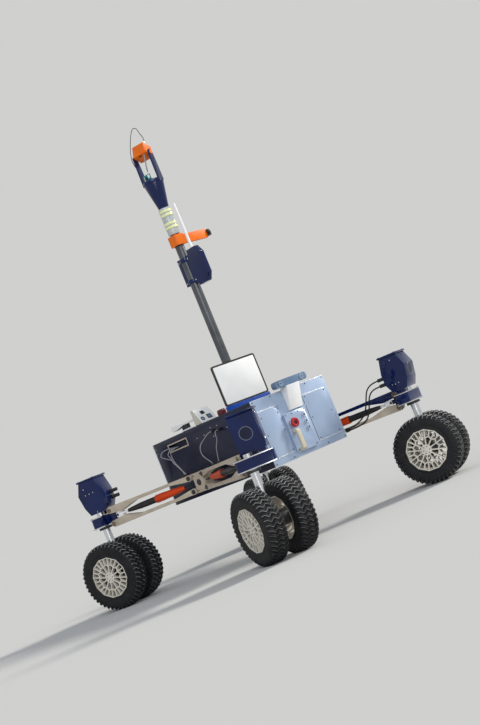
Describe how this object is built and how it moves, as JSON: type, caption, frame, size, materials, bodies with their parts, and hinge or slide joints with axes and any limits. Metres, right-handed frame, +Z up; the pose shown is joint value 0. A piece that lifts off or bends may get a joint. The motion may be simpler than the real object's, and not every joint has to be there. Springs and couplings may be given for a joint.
{
  "type": "planetary rover prototype",
  "caption": "Wheeled planetary rover: body box on rocker-mounted double arms, steered twin wheels under drive housings, and a mast with beacon and panning camera head.",
  "frame": {"origin": "on the floor under the middle of the footprint", "axes": "+X towards the end with the instrument panel, +Y to the left of a driver facing +X, +Z up"},
  "size_m": [1.3884, 1.25, 1.8713],
  "materials": {
    "alloy": "bare, turned",
    "black": "black",
    "blue": "bright blue",
    "board": "teal circuit board",
    "clear_ribs": "ribbed, pale yellow",
    "dark_metal": "black anodised",
    "mast_grey": "dark grey tube",
    "navy": "glossy navy",
    "navy_dark": "dark navy sheet",
    "orange": "orange printed",
    "red": "red",
    "rim": "off-white printed",
    "silver_blue": "pale silver blue",
    "smoke": "grey blue",
    "tan": "tan composite",
    "tyre": "black moulded tread",
    "white": "white"
  },
  "bodies": {
    "chassis": {"arm_camera": "black", "arm_pins": "alloy", "beacon": "clear_ribs", "body_shell": "navy_dark", "camera_arm": "orange", "camera_hood": "white", "damper_bodies": "black", "damper_rods": "white", "damper_sleeves": "orange", "deck_cap": "red", "deck_handle": "white", "drive_housings": "navy", "front_hatches": "silver_blue", "front_panel": "silver_blue", "grab_bar": "rim", "housing_cables": "black", "housing_lids": "navy", "housing_plugs": "black", "knuckle_blocks": "navy_dark", "knuckle_plates": "alloy", "lower_arms": "tan", "mast_box": "navy", "mast_cone": "navy", "mast_tube": "mast_grey", "name_board": "white", "name_board_base": "blue", "rear_panel": "silver_blue", "rocker_blocks": "tan", "rocker_shafts": "dark_metal", "sensor_box": "white", "service_strip": "silver_blue", "side_cables": "black", "side_plugs": "black", "slot_trim": "tan", "stereo_camera": "smoke", "stick_antenna": "white", "stop_button": "red", "upper_arms": "tan"},
    "steering_rear_right": {"steering_tube_rear_right": "alloy", "axle_drive_rear_right": "dark_metal"},
    "wheels_rear_right": {"tyres_rear_right": "tyre", "rims_rear_right": "rim"},
    "steering_front_right": {"steering_tube_front_right": "alloy", "axle_drive_front_right": "dark_metal"},
    "wheels_front_right": {"tyres_front_right": "tyre", "rims_front_right": "rim"},
    "steering_front_left": {"steering_tube_front_left": "alloy", "axle_drive_front_left": "dark_metal"},
    "wheels_front_left": {"tyres_front_left": "tyre", "rims_front_left": "rim"},
    "steering_rear_left": {"steering_tube_rear_left": "alloy", "axle_drive_rear_left": "dark_metal"},
    "wheels_rear_left": {"tyres_rear_left": "tyre", "rims_rear_left": "rim"},
    "head_pan": {"head_fork": "navy", "head_electronics": "board"},
    "head_tilt": {"head_box": "orange", "head_whip": "alloy", "head_leads": "black"}
  },
  "joints": [
    {"name": "steer_rear_right", "type": "hinge", "parent": "chassis", "child": "steering_rear_right", "pos_m": [-0.524, -0.4745, 0.1425], "axis": [0, 0, 1], "range_deg": [-110, 70]},
    {"name": "roll_rear_right", "type": "hinge", "parent": "steering_rear_right", "child": "wheels_rear_right", "pos_m": [-0.524, -0.4745, 0.1425], "axis": [-0.342, 0.9397, 0], "continuous": true},
    {"name": "steer_front_right", "type": "hinge", "parent": "chassis", "child": "steering_front_right", "pos_m": [0.524, -0.4745, 0.1425], "axis": [0, 0, 1], "range_deg": [-77, 103]},
    {"name": "roll_front_right", "type": "hinge", "parent": "steering_front_right", "child": "wheels_front_right", "pos_m": [0.524, -0.4745, 0.1425], "axis": [0.225, 0.9744, 0], "continuous": true},
    {"name": "steer_front_left", "type": "hinge", "parent": "chassis", "child": "steering_front_left", "pos_m": [0.524, 0.4745, 0.1425], "axis": [0, 0, 1], "range_deg": [-118, 62]},
    {"name": "roll_front_left", "type": "hinge", "parent": "steering_front_left", "child": "wheels_front_left", "pos_m": [0.524, 0.4745, 0.1425], "axis": [-0.4695, 0.8829, 0], "continuous": true},
    {"name": "steer_rear_left", "type": "hinge", "parent": "chassis", "child": "steering_rear_left", "pos_m": [-0.524, 0.4745, 0.1425], "axis": [0, 0, 1], "range_deg": [-70, 110]},
    {"name": "roll_rear_left", "type": "hinge", "parent": "steering_rear_left", "child": "wheels_rear_left", "pos_m": [-0.524, 0.4745, 0.1425], "axis": [0.342, 0.9397, 0], "continuous": true},
    {"name": "pan_head", "type": "hinge", "parent": "chassis", "child": "head_pan", "pos_m": [0.07, 0, 1.6123], "axis": [0, 0, 1], "range_deg": [-170, 170]},
    {"name": "tilt_head", "type": "hinge", "parent": "head_pan", "child": "head_tilt", "pos_m": [0.07, 0, 1.74], "axis": [0.9483, 0.3173, 0], "range_deg": [-34, 56]}
  ]
}
